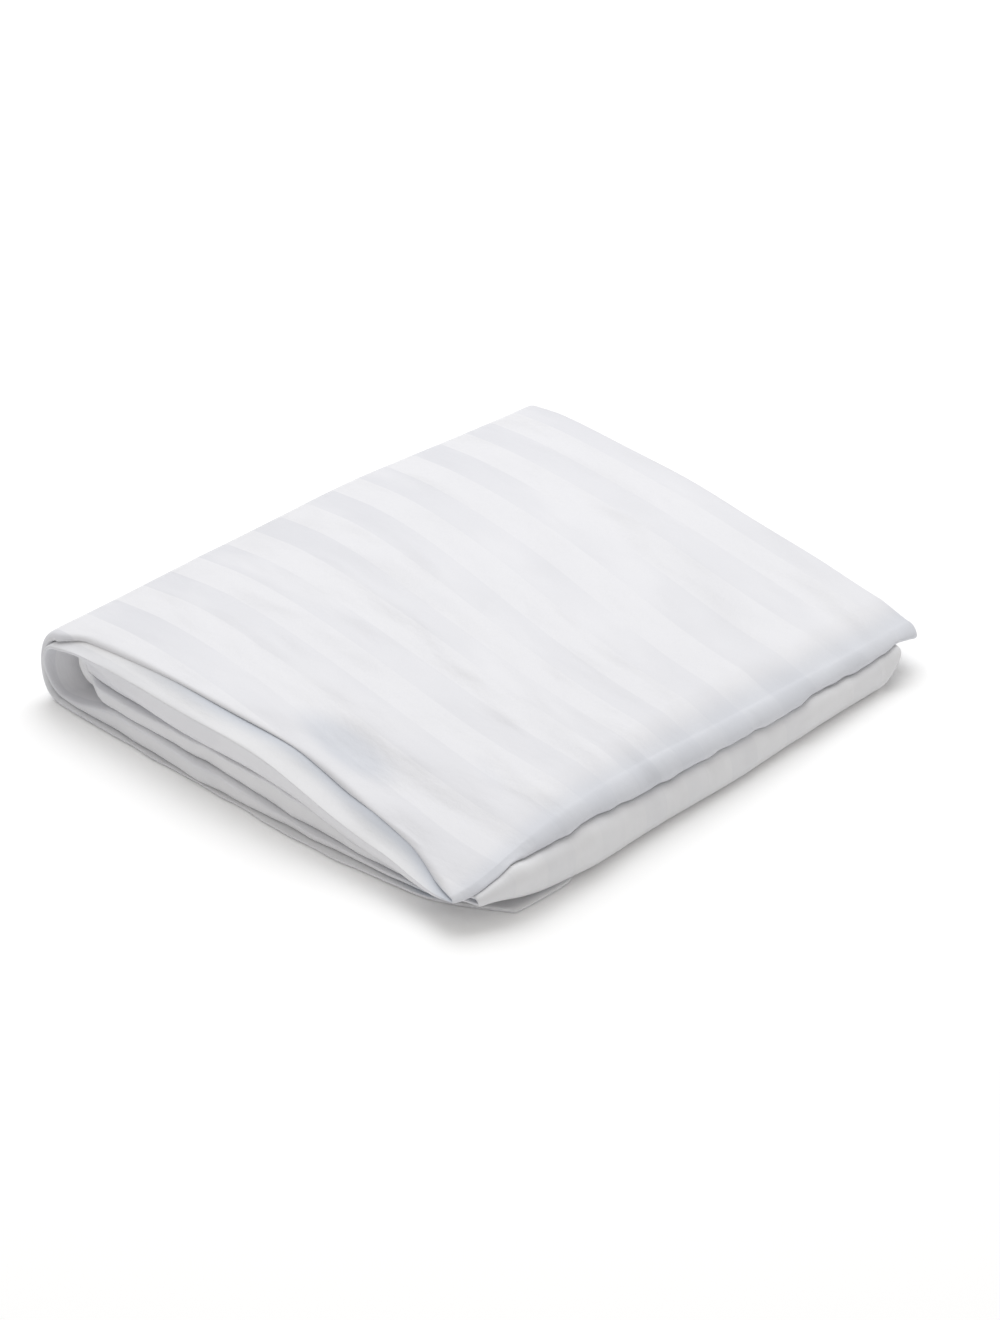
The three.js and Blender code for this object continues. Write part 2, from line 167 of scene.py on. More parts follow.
# One row per fold: its side, how far it bulges at the far side and at the near side, as shares of
# half its height, and how blunt it is.
FOLDS = [
    ("left", 0.67, 0.67, 2.1),
    ("right", 1.05, 1.2, 2.0),
    ("left", 0.6, 0.76, 2.0),
    ("right", 0.72, 0.8, 2.6),
    ("left", 1.1, 0.8, 2.0),
]

# How far each layer's left end moves in from the near edge on, so the hollow of the wrap closes.
INWARD, INWARD_V = [0, 9, -7, -7, 9, 0], (0, 0.07)

# The floor layer ends short of the open folds, and the fifth layer sags down in front of it.
FLOOR_LAYER_BACK, BACK_V = 30.0, (0.12, 0.28)
SAG_LENGTH, SAG_END, SAG_LIFT, SAG_V = 15.0, 5.0, 0.3, (-0.02, 0.28)

# Soft creases of the top, as rows of x, y, direction from X, half length, half width and rise.
CREASES = np.array([
    (30, -137, -4, 34, 12, -4.0),
    (91, -60, -15, 34, 3.2, -0.9),
    (88, -53, -14, 42, 6, 1.1),
    (96, -104, -22, 34, 7, -1.5),
    (-77, -103, -28, 15, 4, -0.8),
    (-58, -112, -22, 13, 3.5, -0.8),
    (-97, -94, -20, 14, 4, 0.7),
    (-30, -76, -6, 90, 6, 0.8),
    (0, -44, -12, 70, 5, 0.7),
    (-5, 14, -14, 80, 9, -0.9),
    (38, 40, -14, 60, 7, 0.8),
    (20, -48, -12, 88, 15, 1.3),
    (-30, -12, -10, 52, 12, -1.3),
    (62, 24, -6, 58, 18, 1.0),
    (-70, 62, -14, 56, 15, -1.1),
    (20, 108, -8, 76, 17, 0.9),
    (-86, -104, 10, 40, 15, 1.0),
    (110, 86, 6, 34, 15, -0.9),
])
print("runs:", [row[0] for row in RUNS], "creases:", len(CREASES))

# %% [markdown]
# ## Smooth curves and the top's height
#
# The tables give a few places, and the cloth passes smoothly through them. A Hermite curve does
# that with the slope at each place taken from its two neighbours, so no place makes a corner. The
# same curve is used twice for the height: along each line, and then across the lines.

# %% Curves and the height of the top


def smooth(t):
    """Eases from 0 to 1: three t squared less two t cubed."""
    return t * t * (3 - 2 * t)


def between(first, second, v):
    """From 0 at first to 1 at second, eased."""
    return smooth(np.clip((v - first) / (second - first), 0, 1))


def curve(at, values, x):
    """A Hermite curve through values at the places at. A slope is the difference of the two
    neighbouring values over the distance between them. values may hold one set for each x."""
    at = np.asarray(at, float)
    values = [np.asarray(v, float) + np.zeros_like(x) for v in values]
    stack = np.stack(values)
    last = len(at) - 1
    before = np.maximum(np.arange(last + 1) - 1, 0)
    after = np.minimum(np.arange(last + 1) + 1, last)
    apart = (at[after] - at[before]).reshape((-1,) + (1,) * x.ndim)
    slopes = (stack[after] - stack[before]) / apart
    x = np.clip(x, at[0], at[-1])
    k = np.clip(np.searchsorted(at, x, side="left") - 1, 0, last - 1)
    span = at[k + 1] - at[k]
    t = (x - at[k]) / span

    def pick(grid, index):
        return np.take_along_axis(grid, index[None], axis=0)[0]

    return (
        (2 * t**3 - 3 * t**2 + 1) * pick(stack, k)
        + (t**3 - 2 * t**2 + t) * span * pick(slopes, k)
        + (3 * t**2 - 2 * t**3) * pick(stack, k + 1)
        + (t**3 - t**2) * span * pick(slopes, k + 1)
    )


def soft_creases(rows, x, y):
    """The sum of long soft bumps: each is its rise times a bell curve along and across its line."""
    total = np.zeros_like(x)
    for cx, cy, turn, length, width, rise in rows:
        c, s = math.cos(math.radians(turn)), math.sin(math.radians(turn))
        along = ((x - cx) * c + (y - cy) * s) / length
        off = ((y - cy) * c - (x - cx) * s) / width
        total += rise * np.exp(-along**2 - off**2)
    return total


def height_at(x, y):
    """The height of the bundle's top: the curve along each line, then across the lines."""
    lines = [curve(HEIGHT_X, row, x) for row in HEIGHTS.values()]
    return curve(list(HEIGHTS), lines, y) + soft_creases(CREASES, x, y)


print("top in the middle, mm:", round(float(height_at(np.array([0.0]), np.array([0.0]))[0]), 2))

# %% [markdown]
# ## The folded middle surface
#
# Both panels lie against one middle surface: a long ribbon, folded back and forth. It is a
# function of two parameters: how far along the ribbon, through six runs and five folds, and how
# far across it. The wrap comes from the order of the layers: from the floor layer the cloth goes
# up round the left side to the top, and then winds inwards.

# %% The middle surface


def waves(rows, t, layer=0):
    """The sum of sine waves. A row is a wave's rate, its phase for each layer and its size."""
    return sum(size * np.sin(t * rate + layer * phase) for rate, phase, size in rows)


def wander(layer, t, size):
    """The slow wander of a layer's edge, from 0 to 1 along it."""
    return size * waves(SLOW_WAVES, t, layer)


def near_share(x, y):
    """How much of the near side's lines holds at a place, for the lower and for the upper layers:
    1 at the edge and 0 where the layers are even. The upper ones go over sooner at the right."""
    sooner = between(*SOONER_X, x)
    lower = 1 - between(EDGE_Y, EVEN_Y, y)
    gone = (y - EDGE_Y + SOONER * sooner) / (EVEN_Y - EDGE_Y - SHORTER * sooner)
    return lower, 1 - smooth(np.clip(gone, 0, 1))


def layer_lines(x, y):
    """The heights of the seven lines from the floor to the top. Away from the near side they are
    even shares of the height, apart from the line under the second layer, which has its own height
    at the open folds. At the near side they are the lines of the table, where the one under the
    top layer comes down from that layer's edge to the lip of the second layer."""
    top = height_at(x, y)
    roll = np.clip((x - (RIGHT_X - ROLL_LENGTH)) / (ROLL_LENGTH + ROLL_PAST), 0, 1)
    drop = ROLL_DROP * smooth(roll)
    lower, upper = near_share(x, y)
    table = {name: curve(NEAR_X, row, x) for name, row in NEAR_LINES.items()}
    in_front = np.clip((y - LIP_Y) / (EDGE_Y - LIP_Y), 0, 1) ** LIP_CURVE
    lip, edge = table["lip of the second layer"], table["under the top layer"]
    under_top = lip * (1 - in_front) + edge * in_front
    rows = [
        (table["under the fifth layer"], lower),
        (table["under the fourth layer"], lower),
        (table["under the third layer"], upper),
        (table["under the second layer"], upper),
        (under_top, upper),
    ]
    lines = [np.zeros_like(x)]
    turning = between(*TURNING_X, x)
    fourth = top * 4 / LAYERS
    turn_z = curve(TURN_Y, TURN_Z, y) + waves(TURN_WAVES, y)
    fourth = fourth + (turn_z - fourth) * turning
    evens = [top * 1 / LAYERS, top * 2 / LAYERS, top * 3 / LAYERS, fourth]
    evens.append(top * 5 / LAYERS * (1 - turning) + (fourth + top) / 2 * turning)
    for even, (row, near) in zip(evens, rows):
        lines.append(even + (row - even) * near)
    lines.append(np.maximum(top, lines[-1] + TOP_LEAST * in_front) - drop)
    lines[-2] = lines[-2] - ROLL_UNDER * drop
    for k in range(LAYERS - 1, 0, -1):
        lines[k] = np.minimum(lines[k], lines[k + 1] - LEAST_ROOM)
    return lines


def layer_span(layer, x, y, v):
    """The height of a layer's seam surface and the room over and under it, between its two lines
    less the clearance. Near the edge that shows, the seam lies high or low in the layer, so one
    panel's rim covers the layer's whole edge. The fifth layer sags at the open folds."""
    lines = layer_lines(x, y)
    lower, upper = near_share(x, y)
    clear = CLEAR * (1 - CLEAR_LESS * upper)
    low = lines[layer] + (clear / 2 if layer else 0)
    high = lines[layer + 1] - (clear / 2 if layer < LAYERS - 1 else 0)
    if layer == 0:
        at_corner = between(*FLOOR_FOLD_X, x) * (1 - between(*FLOOR_FOLD_Y, y))
        high = high + (np.minimum(high, FLOOR_FOLD) - high) * at_corner
    if layer == 2:
        lift = CORE_LIFT * (1 - between(*CORE_X, x)) * lower
        low = np.minimum(low + lift, high - CORE_ROOM)
    showing = between(*SEAM_LEFT, x) * (1 - between(*SEAM_RIGHT, x)) * (1 - between(*SEAM_V, v))
    share = 0.5 + (SEAM_AT[layer] - 0.5) * showing
    seam_z = low + (high - low) * share
    under = seam_z - low
    if layer == 1:
        sag_end = RIGHT_X - SAG_END
        sag = between(sag_end - SAG_LENGTH, sag_end, x) * between(*SAG_V, v)
        seam_z = seam_z + (under + SAG_LIFT - seam_z) * sag
    return seam_z, (high - low) * (1 - share), under


def run_surface(run, s, v):
    """A run of the ribbon. x goes from the left turning line to the right one as s goes from 0 to
    1, y from the near edge to the far one as v does, and z is the layer's height there. The lower
    four layers have a finer ripple in their near edges as well, which is none at the folds."""
    name, layer, _, left_reach, right_reach, near_corner = run
    near, far = EDGES[name]
    corner = near_corner * np.exp(-v / CORNER_FADE)
    short = FLOOR_LAYER_BACK * between(*BACK_V, v) if layer == 0 else 0
    left_wander = wander(LEFT_PHASE[layer], v, LEFT_WANDER)
    right_wander = wander(RIGHT_PHASE[layer], v, RIGHT_WANDER)
    inward = INWARD[layer] * between(*INWARD_V, v)
    left = LEFT_X - left_reach + left_wander + inward + FAR_LEFT_IN * smooth(v) ** 4
    right = RIGHT_X + right_reach - corner - short + right_wander + FAR_RIGHT_OUT * smooth(v)
    bow = np.sin(np.pi * s)
    ripple = waves(FINE_WAVES, s, layer) * (layer < 4)
    near_wander = wander(layer + NEAR_PHASE, s, SIDE_WANDER) + ripple
    near_y = curve(EDGE_AT, near, s) + near_wander * bow
    far_y = curve(EDGE_AT, far, s) + wander(layer + FAR_PHASE, s, SIDE_WANDER) * bow
    x = left + (right - left) * s
    y = near_y + (far_y - near_y) * v
    z, over, under = layer_span(layer, x, y, v)
    return x, y, z, over, under


def rolled(distance):
    """The share of the thickness left near an edge: a quarter of a blunt ellipse."""
    t = np.clip(distance / ROUNDING, 0, 1)
    return (1 - (1 - t) ** ROUND_BLUNT) ** (1 / ROUND_BLUNT)


def run_part(number, places, v):
    """A run, with the direction out of the front panel and the room for the two panels. The room
    goes down to none at the ribbon's own two ends."""
    run = RUNS[number]
    s = places if run[2] == "right" else 1 - places
    s, v = np.broadcast_arrays(s[:, None], v[None, :])
    x, y, z, over, under = run_surface(run, s, v)
    from_end = {0: places, len(RUNS) - 1: 1 - places}.get(number, np.ones_like(places))
    thinning = rolled(from_end * (RIGHT_X - LEFT_X))[:, None] + 0 * v
    out = OUT_OF_FRONT[number]
    front, back = (over, under) if out > 0 else (under, over)
    return x, y, z, 0 * v, out + 0 * v, front * thinning, back * thinning


def fold_part(number, places, v):
    """A fold between two runs: half of a blunt ellipse whose ends are the runs' ends and whose
    depth is the bulge. The direction out of the front panel is square to the curve's own
    direction, from the slopes of x and z along it."""
    side_name, far_bulge, near_bulge, blunt = FOLDS[number]
    side, end = (1, 1.0) if side_name == "right" else (-1, 0.0)
    angle, v = np.broadcast_arrays(np.pi * places[:, None], v[None, :])
    s = np.full_like(v, end)
    ax, ay, az, a_over, a_under = run_surface(RUNS[number], s, v)
    bx, by, bz, b_over, b_under = run_surface(RUNS[number + 1], s, v)
    share = (1 - np.cos(angle)) / 2
    half = np.abs(bz - az) / 2
    bulge = half * (far_bulge + (near_bulge - far_bulge) * near_share(ax, ay)[0])
    way = np.sign(az - bz)
    power = 2 / blunt
    sine, cosine = np.sin(angle), np.cos(angle)
    x = ax + (bx - ax) * share + side * bulge * sine**power
    z = (az + bz) / 2 + way * half * np.sign(cosine) * np.abs(cosine) ** power
    y = ay + (by - ay) * smooth(share)
    along_x = sine * (bx - ax) / 2 + side * bulge * power * sine ** (power - 1) * cosine
    along_z = -way * half * power * np.abs(cosine) ** (power - 1) * sine
    size = np.hypot(along_x, along_z)
    outward = OUT_OF_FRONT[number] * side
    a_pair = (a_over, a_under) if OUT_OF_FRONT[number] > 0 else (a_under, a_over)
    b_pair = (b_over, b_under) if OUT_OF_FRONT[number + 1] > 0 else (b_under, b_over)
    front, back = (a + (b - a) * share for a, b in zip(a_pair, b_pair))
    return x, y, z, -outward * along_z / size, outward * along_x / size, front, back


def spaced(count, ends=1.6):
    """Places from 0 to 1 that lie closer together near both ends."""
    t = np.linspace(-1, 1, count)
    return 0.5 + 0.5 * np.sign(t) * (1 - (1 - np.abs(t)) ** ends)


# Places across the ribbon: close together at both rims, then even.
rim = np.array([0, 0.25, 0.6, 1.1, 1.8, 2.6, 3.6, 5, 7, 9.5, 12.5, 16]) / RIBBON_WIDE
EVEN_START, EVEN_STEPS = 20 / RIBBON_WIDE, 74
even = np.linspace(EVEN_START, 1 - EVEN_START, EVEN_STEPS)
across = np.concatenate([rim, even, 1 - rim[::-1]])
RUN_STEPS = [48, 124, 84, 52, 52, 48]  # places along each run, most on the top layer
FOLD_STEPS = 19
# The ribbon's own two ends have close places as well, up to a share of the run.
END_PLACES, END_SHARE = np.array([0, 0.001, 0.003, 0.006, 0.01]), 0.012
parts = []
for number in range(len(RUNS)):
    if number:
        parts.append(fold_part(number - 1, np.linspace(0, 1, FOLD_STEPS)[1:-1], across))
    places = spaced(RUN_STEPS[number])
    if number == 0:
        places = np.concatenate([END_PLACES, places[places > END_SHARE]])
    if number == len(RUNS) - 1:
        places = np.concatenate([places[places < 1 - END_SHARE], 1 - END_PLACES[::-1]])
    parts.append(run_part(number, places, across))
middle = [np.concatenate(column) for column in zip(*parts)]
print("middle surface:", middle[0].shape, "places")

# %% [markdown]
# ## Two panels from one middle
#
# On the real cover a panel's edge is turned in and sewn, so it ends in a soft rim. A panel lies on
# one side of the middle surface, with a hair's gap between the two. Its inner face is offset by
# half the gap and its outer face by the room of its plies as well, which goes down to a thin rolled
# rim at the edges. The two faces and the strips round the rim make one closed body. A Solidify
# modifier could thicken a surface too, but here each place has a room of its own. The unrolled
# lengths along and across the ribbon go into a map called cloth, in metres, because the woven
# stripes follow the cloth.

# %% Build a panel
DRIFT, DRIFT_MORE = 18.0, 26.0  # how far the stripes drift over the bundle, and how much more
DRIFT_Y, DRIFT_WIDE = 20.0, 75.0  # where they drift most, and over what width
DRIFT_X = (-135, 135)
SHARP = math.radians(55)  # faces that meet at more than this have a sharp edge


def unrolled(x, y, z):
    """Metres along and across the cloth. Along is the summed distance between neighbours down the
    middle line, and across is the place across the bundle plus the slow drift of the stripes."""
    c = x.shape[1] // 2
    step = np.sqrt(np.diff(x[:, c]) ** 2 + np.diff(z[:, c]) ** 2)
    along = np.concatenate([[0], np.cumsum(step)])[:, None] + 0 * y
    most = np.exp(-(((y - DRIFT_Y) / DRIFT_WIDE) ** 2))
    drift = (DRIFT + DRIFT_MORE * most) * between(*DRIFT_X, x)
    return along / 1000, (y + drift) / 1000


def panel_faces(side):
    """Inner and outer faces of a panel: the middle moved along its outward direction by half the
    gap, and then by the panel's room, which a blunt roll brings down at the two sides."""
    x, y, z, nx, nz, front, back = middle
    from_rim = np.minimum(across, 1 - across)[None, :] * RIBBON_WIDE
    room = (front if side > 0 else back) - SEAM_GAP / 2
    thickness = np.maximum(LEAST_PANEL, room * rolled(from_rim + RIM_START))
    faces = []
    for offset in (side * SEAM_GAP / 2 + 0 * thickness, side * (SEAM_GAP / 2 + thickness)):
        px = x + nx * offset
        pz = z + nz * offset
        pz = np.where(pz < ON_FLOOR, 0, pz)
        faces.append(np.stack([px + SHIFT_X, y + SHIFT_Y, pz], axis=-1) / 1000)
    return faces


def closed_sheet(name, inner, outer, along, cross, flip):
    """A closed body from two grids of points: the outer and inner faces and the strips round the
    rim. The point in row r and column c is number r times the columns plus c, and the inner
    points follow the outer ones."""
    rows, columns = inner.shape[:2]
    o = np.arange(rows * columns).reshape(rows, columns)
    i = o + rows * columns

    def quads(a, b, c, d):
        return np.stack([a, b, c, d], axis=-1).reshape(-1, 4)

    faces = np.concatenate([
        quads(o[:-1, :-1], o[1:, :-1], o[1:, 1:], o[:-1, 1:]),
        quads(i[:-1, :-1], i[:-1, 1:], i[1:, 1:], i[1:, :-1]),
        quads(i[:-1, 0], i[1:, 0], o[1:, 0], o[:-1, 0]),
        quads(o[:-1, -1], o[1:, -1], i[1:, -1], i[:-1, -1]),
        quads(i[0, :-1], o[0, :-1], o[0, 1:], i[0, 1:]),
        quads(o[-1, :-1], i[-1, :-1], i[-1, 1:], o[-1, 1:]),
    ])
    if flip:
        faces = faces[:, ::-1]
    vertices = np.concatenate([outer.reshape(-1, 3), inner.reshape(-1, 3)])
    mesh = bpy.data.meshes.new(name)
    mesh.vertices.add(len(vertices))
    mesh.vertices.foreach_set("co", vertices.astype(np.float32).ravel())
    mesh.loops.add(faces.size)
    mesh.loops.foreach_set("vertex_index", faces.astype(np.int32).ravel())
    mesh.polygons.add(len(faces))
    mesh.polygons.foreach_set("loop_start", np.arange(0, faces.size, 4, dtype=np.int32))
    mesh.update(calc_edges=True)
    mesh.validate()
    cloth = mesh.uv_layers.new(name="cloth")
    pairs = np.stack([along.ravel(), cross.ravel()], axis=-1)
    pairs = np.concatenate([pairs, pairs])[faces.ravel()]
    cloth.data.foreach_set("uv", pairs.astype(np.float32).ravel())
    mesh.polygons.foreach_set("use_smooth", np.ones(len(faces), dtype=bool))
    mesh.set_sharp_from_angle(angle=SHARP)
    piece = bpy.data.objects.new(name, mesh)
    bpy.context.scene.collection.objects.link(piece)
    return piece


along, cross = unrolled(*middle[:3])
cloth_pieces = {}
for name, side in (("front_panel_cloth", 1), ("back_panel_cloth", -1)):
    inner, outer = panel_faces(side)
    piece = closed_sheet(name, inner, outer, along, cross, flip=side < 0)
    cloth_pieces[name] = piece
    print(name, "faces:", len(piece.data.polygons), "along, m:", round(float(along.max()), 3))

# %% [markdown]
# ## Arithmetic on sockets
#
# A material is a tree of nodes. Written one by one, a formula such as 1 - mask takes several
# lines, so a small class wraps a socket and adds the Math node for each operator. Every other
# node comes from one method that sets the node up first and then fills its inputs.

# %% A small class for materials


class Wire:
    """An output of a node. +, - and * with another wire or a number add the Math node for it."""

    def __init__(self, finish, socket):
        self.finish = finish
        self.socket = socket

    def math(self, operation, *values):
        settings = {"operation": operation}
        return self.finish.add("ShaderNodeMath", settings, dict(enumerate(values)))["Value"]

    def __add__(self, other):
        return self.math("ADD", self, other)

    def __mul__(self, other):
        return self.math("MULTIPLY", self, other)

    def __sub__(self, other):
        return self.math("SUBTRACT", self, other)

    def __rsub__(self, other):
        return self.math("SUBTRACT", other, self)

    def clamped(self):
        return self.finish.add("ShaderNodeClamp", {}, {"Value": self})["Result"]


class Finish:
    """One material. add makes a node: its type, its settings, then its inputs' values or wires."""

    def __init__(self, name):
        self.material = bpy.data.materials.new(name)
        self.material.use_nodes = True
        self.tree = self.material.node_tree
        self.tree.nodes.clear()

    def add(self, kind, settings=None, inputs=None):
        node = self.tree.nodes.new(kind)
        for key, value in (settings or {}).items():
            setattr(node, key, value)
        for key, value in (inputs or {}).items():
            if isinstance(value, Wire):
                self.tree.links.new(value.socket, node.inputs[key])
            else:
                node.inputs[key].default_value = value
        return {o.name: Wire(self, o) for o in node.outputs if o.enabled}

    def mix(self, share, first, second):
        """A colour between two colours."""
        return self.add(
            "ShaderNodeMix",
            {"data_type": "RGBA"},
            {"Factor": share, 6: first, 7: second},
        )["Result"]


print("socket arithmetic ready")

# %% [markdown]
# ## Striped satin
#
# The stripes are woven: bands of satin, whose long floating threads lie flat and shine, beside
# bands of plainer weave. Both are the same white yarn, so the stripes differ in roughness and a
# little in brightness, and their edges are crisp. The weave itself is a fine raised pattern along
# and across the cloth. Painting stripes as an image would fix them to one size, so they are
# worked out from the cloth map, in metres.

# %% Make the satin
STRIPE_PAIR = 0.0399  # a light and a dark stripe together, in metres
STRIPE_START = -0.1470  # where a dark stripe starts, across the bundle
STRIPE_STEEP = 9  # how steep the sine of the stripes is, so their edges are crisp
THREAD = 0.00055  # between raised threads
PATCHY, PATCHY_LESS = 3.4, 0.7  # the noise times the one less the other brings stripes out
CLOUDY = 0.9  # how much the same noise shades the cloth beside the stripes
DARK_ROUGHER = 0.16  # how much rougher a dark stripe is
SHADED = (0.46, 0.495, 0.56, 1)  # the cool tone of the cloth where it lies in soft shade
SHADED_MOST = 0.75


def striped_satin(name, light, dark, roughness):
    """White satin with woven stripes. The stripe is a steep sine of the distance across the cloth,
    and it comes and goes with a cloudy noise. The weave is the product of two sines. The crumple
    and the softer rumple are noise stretched along the cloth."""
    finish = Finish(name)
    coordinates = finish.add("ShaderNodeUVMap", {"uv_map": "cloth"})["UV"]
    split = finish.add("ShaderNodeSeparateXYZ", {}, {"Vector": coordinates})
    run, across_cloth = split["X"], split["Y"]
    # The woven stripes' contrast, raised at the wrapped fold as painted sheen.
    shows = finish.add("ShaderNodeAttribute", {"attribute_name": "stripe_contrast_and_sheen"})["Fac"]
    phase = (across_cloth - STRIPE_START) * (2 * math.pi / STRIPE_PAIR)
    stripe = (phase.math("SINE", phase) * STRIPE_STEEP + 0.5).clamped()

    def noise(scale, detail, rough):
        stretched = finish.add("ShaderNodeMapping", {}, {"Vector": coordinates, "Scale": scale})
        inputs = {"Vector": stretched["Vector"], "Scale": 1.0, "Detail": detail, "Roughness": rough}
        return finish.add("ShaderNodeTexNoise", {"noise_dimensions": "3D"}, inputs)["Fac"]

    cloudy = noise((9, 22, 1), 3.0, 0.5)
    patches = (cloudy * PATCHY - PATCHY_LESS).clamped()
    shade = (stripe * shows * patches + (cloudy - 0.5) * CLOUDY).clamped()
    # Painted shade: this attribute mixes the colour towards a cool grey where shade falls.
    in_shade = finish.add("ShaderNodeAttribute", {"attribute_name": "edge_shade"})["Fac"]
    woven = finish.mix(shade, light, dark)
    colour = finish.mix((in_shade * SHADED_MOST).clamped(), woven, SHADED)
    warp = run * (2 * math.pi / THREAD)
    weft = across_cloth * (2 * math.pi / THREAD)
    weave = warp.math("SINE", warp) * weft.math("SINE", weft)

    def bump(height, strength, distance, below=None):
        inputs = {"Height": height, "Strength": strength, "Distance": distance}
        if below:
            inputs["Normal"] = below
        return finish.add("ShaderNodeBump", {}, inputs)["Normal"]

    fine = bump(weave * (1.4 - stripe), 0.35, 0.00004)
    creased = bump(noise((60, 130, 1), 4.0, 0.55), 0.35, 0.0012, fine)
    rumpled = bump(noise((8, 18, 1), 2.0, 0.45), 0.7, 0.02, creased)
    surface = finish.add(
        "ShaderNodeBsdfPrincipled",
        {},
        {
            "Base Color": colour,
            "Roughness": stripe * DARK_ROUGHER + roughness,
            "Normal": rumpled,
            "Sheen Weight": 0.25,
            "Sheen Roughness": 0.4,
            "Specular IOR Level": 0.35,
        },
    )["BSDF"]
    finish.add("ShaderNodeOutputMaterial", {}, {"Surface": surface})
    return finish.material


FRONT_LIGHT, FRONT_DARK = (0.73, 0.73, 0.755, 1), (0.655, 0.658, 0.69, 1)
BACK_LIGHT, BACK_DARK = (0.71, 0.71, 0.725, 1), (0.665, 0.668, 0.69, 1)
front_satin = striped_satin("front_striped_satin", FRONT_LIGHT, FRONT_DARK, 0.42)
back_satin = striped_satin("back_striped_satin", BACK_LIGHT, BACK_DARK, 0.45)
print("materials:", front_satin.name, back_satin.name)

# %% [markdown]
# ## Where the stripes and the shade show
#
# Satin stripes show most where the cloth turns towards the light, which is on the wrapped fold
# here, and they fade over the flat top; this sheen is painted, as more contrast between the
# stripes' colours there. Shade is painted as well: the colour is darker and cooler in the cloth's
# hollows, on the roll of the top fold, and on the second layer just under the top layer's edge,
# where shade falls. Both are one number for each vertex, which the material reads by name. An
# attribute follows the cloth, so nothing depends on the camera, and it needs no image.

# %% Lay the satin on the panels
CONTRAST, CONTRAST_MORE, CONTRAST_WIDE = 0.42, 0.58, 52.0  # painted sheen: the stripes' contrast, more at the wrapped fold
EDGE_WIDE, EDGE_X = 5.0, (-120, -30)  # the shade under the top layer's edge
# A crease has shade from the first depth on, more over the second, and the last at most.
HOLLOW_LEAST, HOLLOW_FULL, HOLLOW_MOST = 1.0, 3.0, 0.6
ROLLING, ROLLING_FROM, ROLLING_TO = 0.5, 20.0, 4.0  # painted shade on the roll of the top fold, in from the open folds
LOW_LAYERS = 14.0  # the layers under this height aren't shaded


def per_vertex(piece, name, values):
    """One number for each vertex, the same on the outer and on the inner face."""
    attribute = piece.data.attributes.new(name, "FLOAT", "POINT")
    attribute.data.foreach_set("value", np.concatenate([values, values]).astype(np.float32))


x, y, z = (grid.ravel() for grid in middle[:3])
top_run = parts[2]  # the runs are the even parts
below = np.interp(x, top_run[0][:, 0], top_run[1][:, 0]) - y  # how far in front of its near edge
# Painted sheen: the stripes' contrast, raised near the wrapped fold.
strength = CONTRAST + CONTRAST_MORE * np.exp(-(((x - LEFT_X) / CONTRAST_WIDE) ** 2))
# Painted shade: under the top layer's edge, in the top's hollows and on the roll of the top fold.
under_edge = np.exp(-((below / EDGE_WIDE) ** 2)) * between(*EDGE_X, x)
depth = -(soft_creases(CREASES, x, y) + HOLLOW_LEAST)
hollows = np.clip(depth / HOLLOW_FULL, 0, HOLLOW_MOST)
rolling = ROLLING * between(RIGHT_X - ROLLING_FROM, RIGHT_X - ROLLING_TO, x)
on_top = np.maximum(hollows, rolling) * np.clip(z - LOW_LAYERS, 0, 1)
for name, material, shade in (
    ("front_panel_cloth", front_satin, on_top),
    ("back_panel_cloth", back_satin, under_edge),
):
    piece = cloth_pieces[name]
    piece.data.materials.append(material)
    per_vertex(piece, "stripe_contrast_and_sheen", strength)
    per_vertex(piece, "edge_shade", shade)
    print(name, "most shade:", round(float(shade.max()), 2))

# %% [markdown]
# ## Put each panel in the place of its solid
#
# Each panel stands for its solid: it is attached to the root body, and the solid is hidden.

for name, node, slot_name in (
    ("front_panel_cloth", "front_panel", "striped_satin_front"),
    ("back_panel_cloth", "back_panel", "striped_satin_back"),
):
    piece = cloth_pieces[name]
    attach(piece, "root")
    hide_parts(node)
    print(name, "stands for", node)

# %% [markdown]
# ## The floor
#
# The photo has a white studio sweep, so bright that it shows no edge. A wide flat grid does for it:
# pale and matt, a hair under the cloth so the two never share a face.

# %% Floor
HALF_SIDE, FLOOR_PLACES, FLOOR_Z = 6.0, 25, -0.0002  # in metres
FLOOR_TONE = (0.965, 0.965, 0.965, 1)
line = np.linspace(-HALF_SIDE, HALF_SIDE, FLOOR_PLACES)
floor_x, floor_y = np.meshgrid(line, line, indexing="ij")
points = np.stack([floor_x, floor_y, np.full_like(floor_x, FLOOR_Z)], axis=-1).reshape(-1, 3)
index = np.arange(FLOOR_PLACES**2).reshape(FLOOR_PLACES, FLOOR_PLACES)
corners = [index[:-1, :-1], index[1:, :-1], index[1:, 1:], index[:-1, 1:]]
floor_faces = np.stack(corners, axis=-1).reshape(-1, 4)
floor_mesh = bpy.data.meshes.new("floor")
floor_mesh.from_pydata(points.tolist(), [], floor_faces.tolist())
floor = bpy.data.objects.new("floor", floor_mesh)
bpy.context.scene.collection.objects.link(floor)
pale = Finish("pale_floor")
pale_surface = pale.add(
    "ShaderNodeBsdfPrincipled",
    {},
    {"Base Color": FLOOR_TONE, "Roughness": 0.9, "Specular IOR Level": 0.1},
)["BSDF"]
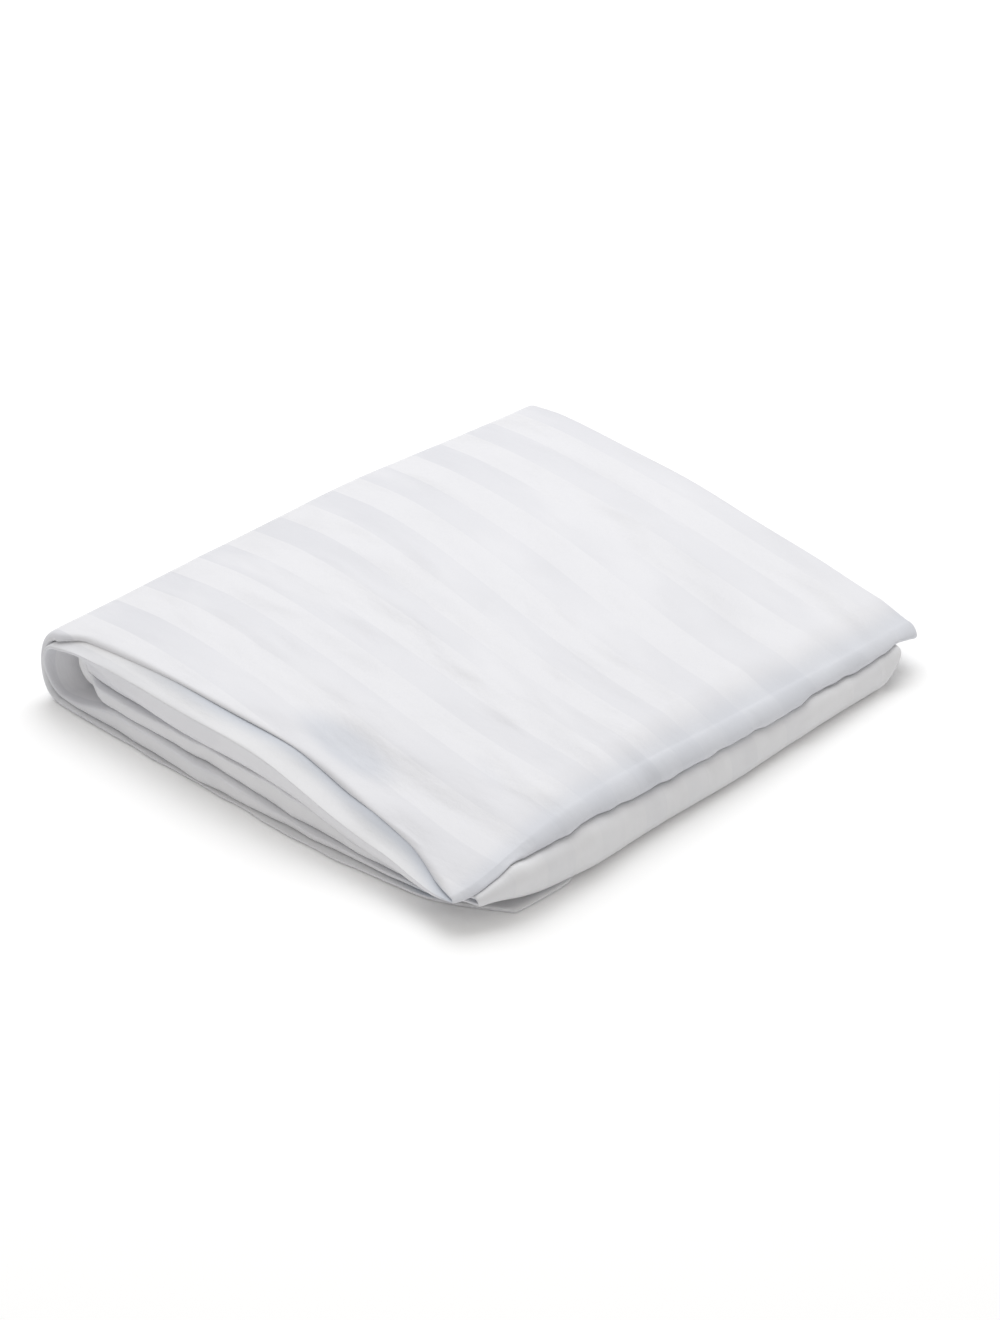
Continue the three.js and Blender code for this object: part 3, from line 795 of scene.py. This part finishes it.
pale.add("ShaderNodeOutputMaterial", {}, {"Surface": pale_surface})
floor_mesh.materials.append(pale.material)
print("floor:", 2 * HALF_SIDE, "m square")

# %% [markdown]
# ## Light and surround
#
# The photo is lit by a large soft light from high up at the back left, so the sides towards the
# camera are in soft shade and the shadow falls to the front and to the right. A square area lamp
# two metres wide does that, and a slightly warm surround fills the shadows. Two lamps could be used
# as well, but one with a bright surround leaves no second shadow.

# %% Light and surround
scene = bpy.context.scene
scene.view_settings.view_transform = "Standard"
world = bpy.data.worlds.new("white_surround")
world.use_nodes = True
world.node_tree.nodes["Background"].inputs["Color"].default_value = (1.0, 0.985, 0.96, 1)
world.node_tree.nodes["Background"].inputs["Strength"].default_value = 0.67
scene.world = world
lamp = bpy.data.lights.new("soft_light", "AREA")
lamp.shape = "RECTANGLE"
lamp.size, lamp.size_y = 2.0, 2.0
lamp.energy = 32
lamp.color = (0.96, 0.975, 1.0)
soft_light = bpy.data.objects.new("soft_light", lamp)
scene.collection.objects.link(soft_light)
soft_light.location = (-0.65, 0.65, 1.9)
soft_light.rotation_euler = (-soft_light.location).to_track_quat("-Z", "Y").to_euler()
print("light:", lamp.energy, "W")

# %% [markdown]
# ## Camera
#
# The camera looks down at the near right corner with a long lens, so the bundle's sides stay
# nearly parallel. It is placed by its direction round the bundle, its height and its distance,
# because that is how the photo's view was worked out from the bundle's corners.

# %% Camera
azimuth, elevation, distance = math.radians(43.4293), math.radians(32.1375), 1.8
target = np.array([0.013845, -0.013223, 0.02])
back = np.array([
    math.sin(azimuth) * math.cos(elevation),
    -math.cos(azimuth) * math.cos(elevation),
    math.sin(elevation),
])
lens = bpy.data.cameras.new("camera")
lens.lens, lens.sensor_width, lens.sensor_fit = 123.75, 36, "HORIZONTAL"
lens.clip_start, lens.clip_end = 0.05, 50
camera = bpy.data.objects.new("camera", lens)
scene.collection.objects.link(camera)
camera.location = target + distance * back
camera.rotation_euler = (math.pi / 2 - elevation, 0, azimuth)
scene.camera = camera
print("camera:", [round(float(v), 3) for v in camera.location])
